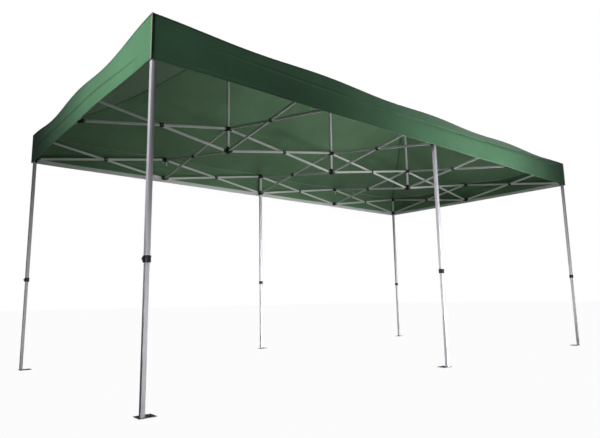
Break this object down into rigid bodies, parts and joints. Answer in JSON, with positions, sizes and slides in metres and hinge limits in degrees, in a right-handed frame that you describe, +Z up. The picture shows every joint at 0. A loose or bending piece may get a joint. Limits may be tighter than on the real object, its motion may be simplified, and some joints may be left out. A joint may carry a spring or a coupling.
{
  "type": "pop up gazebo",
  "caption": "Folding shelter for a garden: hipped fabric canopy with hanging valances on a scissor frame with telescopic legs.",
  "frame": {"origin": "on the ground, under the middle of the canopy", "axes": "+Z up, +X along the long side, -Y the front"},
  "size_m": [5.983, 3.023, 3.3613],
  "materials": {
    "frame_paint": "satin",
    "hub_plastic": "satin",
    "foot_zinc": "satin",
    "canopy_fabric": "matte",
    "hem_tape": "matte",
    "piping": "matte"
  },
  "bodies": {
    "outer_leg_front_left": {"outer_leg_front_left": "frame_paint"},
    "inner_leg_front_left": {"inner_leg_front_left": "frame_paint"},
    "slider_front_left": {"slider_front_left": "hub_plastic"},
    "outer_leg_front_middle": {"outer_leg_front_middle": "frame_paint", "front_eave_truss": "frame_paint", "valance_front": "canopy_fabric"},
    "inner_leg_front_middle": {"inner_leg_front_middle": "frame_paint"},
    "slider_front_middle": {"slider_front_middle": "hub_plastic"},
    "outer_leg_front_right": {"outer_leg_front_right": "frame_paint"},
    "inner_leg_front_right": {"inner_leg_front_right": "frame_paint"},
    "slider_front_right": {"slider_front_right": "hub_plastic"},
    "outer_leg_back_left": {"outer_leg_back_left": "frame_paint"},
    "inner_leg_back_left": {"inner_leg_back_left": "frame_paint"},
    "slider_back_left": {"slider_back_left": "hub_plastic"},
    "outer_leg_back_middle": {"outer_leg_back_middle": "frame_paint", "back_eave_truss": "frame_paint", "valance_back": "canopy_fabric"},
    "inner_leg_back_middle": {"inner_leg_back_middle": "frame_paint"},
    "slider_back_middle": {"slider_back_middle": "hub_plastic"},
    "outer_leg_back_right": {"outer_leg_back_right": "frame_paint"},
    "inner_leg_back_right": {"inner_leg_back_right": "frame_paint"},
    "slider_back_right": {"slider_back_right": "hub_plastic"},
    "upper_hub_left": {"upper_hub_left": "hub_plastic", "left_cross_truss": "frame_paint"},
    "peak_pole_left": {"peak_pole_left": "frame_paint"},
    "upper_hub_centre": {"upper_hub_centre": "hub_plastic"},
    "peak_pole_centre": {"peak_pole_centre": "frame_paint"},
    "upper_hub_right": {"upper_hub_right": "hub_plastic", "right_cross_truss": "frame_paint"},
    "peak_pole_right": {"peak_pole_right": "frame_paint"},
    "upper_hub_left_end": {"upper_hub_left_end": "hub_plastic", "valance_left": "canopy_fabric"},
    "lower_hub_left_end": {"lower_hub_left_end": "hub_plastic"},
    "upper_hub_right_end": {"upper_hub_right_end": "hub_plastic", "valance_right": "canopy_fabric"},
    "lower_hub_right_end": {"lower_hub_right_end": "hub_plastic"},
    "bar_ridge_inner_right_falling": {"bar_ridge_inner_right_falling": "frame_paint"},
    "bar_ridge_inner_right_rising": {"bar_ridge_inner_right_rising": "frame_paint"},
    "bar_ridge_inner_left_falling": {"bar_ridge_inner_left_falling": "frame_paint"},
    "bar_ridge_inner_left_rising": {"bar_ridge_inner_left_rising": "frame_paint"},
    "bar_ridge_outer_right_falling": {"bar_ridge_outer_right_falling": "frame_paint"},
    "bar_ridge_outer_right_rising": {"bar_ridge_outer_right_rising": "frame_paint"},
    "bar_ridge_outer_left_falling": {"bar_ridge_outer_left_falling": "frame_paint"},
    "bar_ridge_outer_left_rising": {"bar_ridge_outer_left_rising": "frame_paint"},
    "bar_middle_front_falling": {"bar_middle_front_falling": "frame_paint"},
    "bar_middle_front_rising": {"bar_middle_front_rising": "frame_paint"},
    "bar_middle_back_falling": {"bar_middle_back_falling": "frame_paint"},
    "bar_middle_back_rising": {"bar_middle_back_rising": "frame_paint"},
    "bar_right_front_falling": {"bar_right_front_falling": "frame_paint"},
    "bar_right_front_rising": {"bar_right_front_rising": "frame_paint"},
    "bar_right_back_falling": {"bar_right_back_falling": "frame_paint"},
    "bar_right_back_rising": {"bar_right_back_rising": "frame_paint"},
    "bar_left_front_falling": {"bar_left_front_falling": "frame_paint"},
    "bar_left_front_rising": {"bar_left_front_rising": "frame_paint"},
    "bar_left_back_falling": {"bar_left_back_falling": "frame_paint"},
    "bar_left_back_rising": {"bar_left_back_rising": "frame_paint"},
    "roof_front": {"roof_front": "canopy_fabric"},
    "roof_right": {"roof_right": "canopy_fabric"},
    "roof_back": {"roof_back": "canopy_fabric"},
    "roof_left": {"roof_left": "canopy_fabric"}
  },
  "joints": [
    {"name": "frame_fold", "type": "hinge", "parent": "upper_hub_centre", "child": "bar_ridge_inner_right_falling", "pos_m": [0.036, 0, 2.415], "axis": [0, 1, 0], "range_deg": [0, 78.6]},
    {"name": "ridge_inner_right_cross", "type": "hinge", "parent": "bar_ridge_inner_right_falling", "child": "bar_ridge_inner_right_rising", "pos_m": [0.74, 0, 2.2985], "axis": [0, 1, 0], "range_deg": [-159.2, 0]},
    {"name": "ridge_inner_right_lower", "type": "hinge", "parent": "bar_ridge_inner_right_falling", "child": "peak_pole_right", "pos_m": [1.444, 0, 2.182], "axis": [0, 1, 0], "range_deg": [-79.6, 0]},
    {"name": "ridge_inner_right_upper", "type": "hinge", "parent": "bar_ridge_inner_right_rising", "child": "upper_hub_right", "pos_m": [1.444, 0, 2.415], "axis": [0, 1, 0], "range_deg": [0, 79.6], "deforming": ["right_cross_truss"]},
    {"name": "centre_lower", "type": "hinge", "parent": "bar_ridge_inner_right_rising", "child": "peak_pole_centre", "pos_m": [0.036, 0, 2.182], "axis": [0, 1, 0], "range_deg": [0, 79.6]},
    {"name": "ridge_inner_left_fold", "type": "hinge", "parent": "upper_hub_centre", "child": "bar_ridge_inner_left_falling", "pos_m": [-0.036, 0, 2.415], "axis": [0, -1, 0], "range_deg": [0, 79.6]},
    {"name": "ridge_inner_left_cross", "type": "hinge", "parent": "bar_ridge_inner_left_falling", "child": "bar_ridge_inner_left_rising", "pos_m": [-0.74, 0, 2.2985], "axis": [0, -1, 0], "range_deg": [-159.2, 0]},
    {"name": "ridge_inner_left_lower", "type": "hinge", "parent": "bar_ridge_inner_left_falling", "child": "peak_pole_left", "pos_m": [-1.444, 0, 2.182], "axis": [0, -1, 0], "range_deg": [-79.6, 0]},
    {"name": "ridge_inner_left_upper", "type": "hinge", "parent": "bar_ridge_inner_left_rising", "child": "upper_hub_left", "pos_m": [-1.444, 0, 2.415], "axis": [0, -1, 0], "range_deg": [0, 79.6], "deforming": ["left_cross_truss"]},
    {"name": "ridge_outer_right_fold", "type": "hinge", "parent": "upper_hub_right", "child": "bar_ridge_outer_right_falling", "pos_m": [1.516, 0, 2.415], "axis": [0, 1, 0], "range_deg": [0, 79.6]},
    {"name": "ridge_outer_right_cross", "type": "hinge", "parent": "bar_ridge_outer_right_falling", "child": "bar_ridge_outer_right_rising", "pos_m": [2.22, 0, 2.2985], "axis": [0, 1, 0], "range_deg": [-159.2, 0]},
    {"name": "ridge_outer_right_lower", "type": "hinge", "parent": "bar_ridge_outer_right_falling", "child": "lower_hub_right_end", "pos_m": [2.924, 0, 2.182], "axis": [0, 1, 0], "range_deg": [-79.6, 0]},
    {"name": "ridge_outer_right_upper", "type": "hinge", "parent": "bar_ridge_outer_right_rising", "child": "upper_hub_right_end", "pos_m": [2.924, 0, 2.415], "axis": [0, 1, 0], "range_deg": [0, 79.6], "deforming": ["valance_right"]},
    {"name": "ridge_outer_left_fold", "type": "hinge", "parent": "upper_hub_left", "child": "bar_ridge_outer_left_falling", "pos_m": [-1.516, 0, 2.415], "axis": [0, -1, 0], "range_deg": [0, 79.6]},
    {"name": "ridge_outer_left_cross", "type": "hinge", "parent": "bar_ridge_outer_left_falling", "child": "bar_ridge_outer_left_rising", "pos_m": [-2.22, 0, 2.2985], "axis": [0, -1, 0], "range_deg": [-159.2, 0]},
    {"name": "ridge_outer_left_lower", "type": "hinge", "parent": "bar_ridge_outer_left_falling", "child": "lower_hub_left_end", "pos_m": [-2.924, 0, 2.182], "axis": [0, -1, 0], "range_deg": [-79.6, 0]},
    {"name": "ridge_outer_left_upper", "type": "hinge", "parent": "bar_ridge_outer_left_rising", "child": "upper_hub_left_end", "pos_m": [-2.924, 0, 2.415], "axis": [0, -1, 0], "range_deg": [0, 79.6], "deforming": ["valance_left"]},
    {"name": "middle_front_fold", "type": "hinge", "parent": "upper_hub_centre", "child": "bar_middle_front_falling", "pos_m": [0, -0.036, 2.415], "axis": [1, 0, 0], "range_deg": [0, 79.6]},
    {"name": "middle_front_cross", "type": "hinge", "parent": "bar_middle_front_falling", "child": "bar_middle_front_rising", "pos_m": [0, -0.74, 2.2985], "axis": [1, 0, 0], "range_deg": [-159.2, 0]},
    {"name": "middle_front_lower", "type": "hinge", "parent": "bar_middle_front_falling", "child": "slider_front_middle", "pos_m": [0, -1.444, 2.182], "axis": [1, 0, 0], "range_deg": [-79.6, 0]},
    {"name": "middle_front_upper", "type": "hinge", "parent": "bar_middle_front_rising", "child": "outer_leg_front_middle", "pos_m": [0, -1.444, 2.415], "axis": [1, 0, 0], "range_deg": [0, 79.6], "deforming": ["front_eave_truss", "valance_front"]},
    {"name": "middle_back_fold", "type": "hinge", "parent": "upper_hub_centre", "child": "bar_middle_back_falling", "pos_m": [0, 0.036, 2.415], "axis": [-1, 0, 0], "range_deg": [0, 79.6]},
    {"name": "middle_back_cross", "type": "hinge", "parent": "bar_middle_back_falling", "child": "bar_middle_back_rising", "pos_m": [0, 0.74, 2.2985], "axis": [-1, 0, 0], "range_deg": [-159.2, 0]},
    {"name": "middle_back_lower", "type": "hinge", "parent": "bar_middle_back_falling", "child": "slider_back_middle", "pos_m": [0, 1.444, 2.182], "axis": [-1, 0, 0], "range_deg": [-79.6, 0]},
    {"name": "middle_back_upper", "type": "hinge", "parent": "bar_middle_back_rising", "child": "outer_leg_back_middle", "pos_m": [0, 1.444, 2.415], "axis": [-1, 0, 0], "range_deg": [0, 79.6], "deforming": ["back_eave_truss", "valance_back"]},
    {"name": "right_front_fold", "type": "hinge", "parent": "upper_hub_right_end", "child": "bar_right_front_falling", "pos_m": [2.96, -0.036, 2.415], "axis": [1, 0, 0], "range_deg": [0, 79.6]},
    {"name": "right_front_cross", "type": "hinge", "parent": "bar_right_front_falling", "child": "bar_right_front_rising", "pos_m": [2.96, -0.74, 2.2985], "axis": [1, 0, 0], "range_deg": [-159.2, 0]},
    {"name": "right_front_lower", "type": "hinge", "parent": "bar_right_front_falling", "child": "slider_front_right", "pos_m": [2.96, -1.444, 2.182], "axis": [1, 0, 0], "range_deg": [-79.6, 0]},
    {"name": "right_front_upper", "type": "hinge", "parent": "bar_right_front_rising", "child": "outer_leg_front_right", "pos_m": [2.96, -1.444, 2.415], "axis": [1, 0, 0], "range_deg": [0, 79.6]},
    {"name": "right_back_fold", "type": "hinge", "parent": "upper_hub_right_end", "child": "bar_right_back_falling", "pos_m": [2.96, 0.036, 2.415], "axis": [-1, 0, 0], "range_deg": [0, 79.6]},
    {"name": "right_back_cross", "type": "hinge", "parent": "bar_right_back_falling", "child": "bar_right_back_rising", "pos_m": [2.96, 0.74, 2.2985], "axis": [-1, 0, 0], "range_deg": [-159.2, 0]},
    {"name": "right_back_lower", "type": "hinge", "parent": "bar_right_back_falling", "child": "slider_back_right", "pos_m": [2.96, 1.444, 2.182], "axis": [-1, 0, 0], "range_deg": [-79.6, 0]},
    {"name": "right_back_upper", "type": "hinge", "parent": "bar_right_back_rising", "child": "outer_leg_back_right", "pos_m": [2.96, 1.444, 2.415], "axis": [-1, 0, 0], "range_deg": [0, 79.6]},
    {"name": "left_front_fold", "type": "hinge", "parent": "upper_hub_left_end", "child": "bar_left_front_falling", "pos_m": [-2.96, -0.036, 2.415], "axis": [1, 0, 0], "range_deg": [0, 79.6]},
    {"name": "left_front_cross", "type": "hinge", "parent": "bar_left_front_falling", "child": "bar_left_front_rising", "pos_m": [-2.96, -0.74, 2.2985], "axis": [1, 0, 0], "range_deg": [-159.2, 0]},
    {"name": "left_front_lower", "type": "hinge", "parent": "bar_left_front_falling", "child": "slider_front_left", "pos_m": [-2.96, -1.444, 2.182], "axis": [1, 0, 0], "range_deg": [-79.6, 0]},
    {"name": "left_front_upper", "type": "hinge", "parent": "bar_left_front_rising", "child": "outer_leg_front_left", "pos_m": [-2.96, -1.444, 2.415], "axis": [1, 0, 0], "range_deg": [0, 79.6]},
    {"name": "left_back_fold", "type": "hinge", "parent": "upper_hub_left_end", "child": "bar_left_back_falling", "pos_m": [-2.96, 0.036, 2.415], "axis": [-1, 0, 0], "range_deg": [0, 79.6]},
    {"name": "left_back_cross", "type": "hinge", "parent": "bar_left_back_falling", "child": "bar_left_back_rising", "pos_m": [-2.96, 0.74, 2.2985], "axis": [-1, 0, 0], "range_deg": [-159.2, 0]},
    {"name": "left_back_lower", "type": "hinge", "parent": "bar_left_back_falling", "child": "slider_back_left", "pos_m": [-2.96, 1.444, 2.182], "axis": [-1, 0, 0], "range_deg": [-79.6, 0]},
    {"name": "left_back_upper", "type": "hinge", "parent": "bar_left_back_rising", "child": "outer_leg_back_left", "pos_m": [-2.96, 1.444, 2.415], "axis": [-1, 0, 0], "range_deg": [0, 79.6]},
    {"name": "roof_front_swing", "type": "hinge", "parent": "outer_leg_front_middle", "child": "roof_front", "pos_m": [0, -1.51, 2.46], "axis": [-1, 0, 0], "range_deg": [0, 122.33], "deforming": ["roof_front"]},
    {"name": "roof_back_swing", "type": "hinge", "parent": "outer_leg_back_middle", "child": "roof_back", "pos_m": [0, 1.51, 2.46], "axis": [1, 0, 0], "range_deg": [0, 122.33], "deforming": ["roof_back"]},
    {"name": "roof_right_swing", "type": "hinge", "parent": "upper_hub_right_end", "child": "roof_right", "pos_m": [2.99, 0, 2.46], "axis": [0, -1, 0], "range_deg": [0, 122.33], "deforming": ["roof_right"]},
    {"name": "roof_left_swing", "type": "hinge", "parent": "upper_hub_left_end", "child": "roof_left", "pos_m": [-2.99, 0, 2.46], "axis": [0, 1, 0], "range_deg": [0, 122.33], "deforming": ["roof_left"]},
    {"name": "leg_height_front_left", "type": "slide", "parent": "outer_leg_front_left", "child": "inner_leg_front_left", "axis": [0, 0, 1], "range_m": [0, 0.85]},
    {"name": "leg_height_front_middle", "type": "slide", "parent": "outer_leg_front_middle", "child": "inner_leg_front_middle", "axis": [0, 0, 1], "range_m": [0, 0.85]},
    {"name": "leg_height_front_right", "type": "slide", "parent": "outer_leg_front_right", "child": "inner_leg_front_right", "axis": [0, 0, 1], "range_m": [0, 0.85]},
    {"name": "leg_height_back_left", "type": "slide", "parent": "outer_leg_back_left", "child": "inner_leg_back_left", "axis": [0, 0, 1], "range_m": [0, 0.85]},
    {"name": "leg_height_back_middle", "type": "slide", "parent": "outer_leg_back_middle", "child": "inner_leg_back_middle", "axis": [0, 0, 1], "range_m": [0, 0.85]},
    {"name": "leg_height_back_right", "type": "slide", "parent": "outer_leg_back_right", "child": "inner_leg_back_right", "axis": [0, 0, 1], "range_m": [0, 0.85]}
  ],
  "couplings": [
    {"joint": "ridge_inner_right_cross", "follows": "frame_fold", "ratio": -2},
    {"joint": "ridge_inner_right_lower", "follows": "frame_fold", "ratio": -1},
    {"joint": "ridge_inner_right_upper", "follows": "frame_fold", "ratio": 1},
    {"joint": "centre_lower", "follows": "frame_fold", "ratio": 1},
    {"joint": "ridge_inner_left_fold", "follows": "frame_fold", "ratio": 1},
    {"joint": "ridge_inner_left_cross", "follows": "frame_fold", "ratio": -2},
    {"joint": "ridge_inner_left_lower", "follows": "frame_fold", "ratio": -1},
    {"joint": "ridge_inner_left_upper", "follows": "frame_fold", "ratio": 1},
    {"joint": "ridge_outer_right_fold", "follows": "frame_fold", "ratio": 1},
    {"joint": "ridge_outer_right_cross", "follows": "frame_fold", "ratio": -2},
    {"joint": "ridge_outer_right_lower", "follows": "frame_fold", "ratio": -1},
    {"joint": "ridge_outer_right_upper", "follows": "frame_fold", "ratio": 1},
    {"joint": "ridge_outer_left_fold", "follows": "frame_fold", "ratio": 1},
    {"joint": "ridge_outer_left_cross", "follows": "frame_fold", "ratio": -2},
    {"joint": "ridge_outer_left_lower", "follows": "frame_fold", "ratio": -1},
    {"joint": "ridge_outer_left_upper", "follows": "frame_fold", "ratio": 1},
    {"joint": "middle_front_fold", "follows": "frame_fold", "ratio": 1},
    {"joint": "middle_front_cross", "follows": "frame_fold", "ratio": -2},
    {"joint": "middle_front_lower", "follows": "frame_fold", "ratio": -1},
    {"joint": "middle_front_upper", "follows": "frame_fold", "ratio": 1},
    {"joint": "middle_back_fold", "follows": "frame_fold", "ratio": 1},
    {"joint": "middle_back_cross", "follows": "frame_fold", "ratio": -2},
    {"joint": "middle_back_lower", "follows": "frame_fold", "ratio": -1},
    {"joint": "middle_back_upper", "follows": "frame_fold", "ratio": 1},
    {"joint": "right_front_fold", "follows": "frame_fold", "ratio": 1},
    {"joint": "right_front_cross", "follows": "frame_fold", "ratio": -2},
    {"joint": "right_front_lower", "follows": "frame_fold", "ratio": -1},
    {"joint": "right_front_upper", "follows": "frame_fold", "ratio": 1},
    {"joint": "right_back_fold", "follows": "frame_fold", "ratio": 1},
    {"joint": "right_back_cross", "follows": "frame_fold", "ratio": -2},
    {"joint": "right_back_lower", "follows": "frame_fold", "ratio": -1},
    {"joint": "right_back_upper", "follows": "frame_fold", "ratio": 1},
    {"joint": "left_front_fold", "follows": "frame_fold", "ratio": 1},
    {"joint": "left_front_cross", "follows": "frame_fold", "ratio": -2},
    {"joint": "left_front_lower", "follows": "frame_fold", "ratio": -1},
    {"joint": "left_front_upper", "follows": "frame_fold", "ratio": 1},
    {"joint": "left_back_fold", "follows": "frame_fold", "ratio": 1},
    {"joint": "left_back_cross", "follows": "frame_fold", "ratio": -2},
    {"joint": "left_back_lower", "follows": "frame_fold", "ratio": -1},
    {"joint": "left_back_upper", "follows": "frame_fold", "ratio": 1},
    {"joint": "roof_front_swing", "follows": "frame_fold", "ratio": 1.5368},
    {"joint": "roof_back_swing", "follows": "frame_fold", "ratio": 1.5368},
    {"joint": "roof_right_swing", "follows": "frame_fold", "ratio": 1.5368},
    {"joint": "roof_left_swing", "follows": "frame_fold", "ratio": 1.5368}
  ]
}
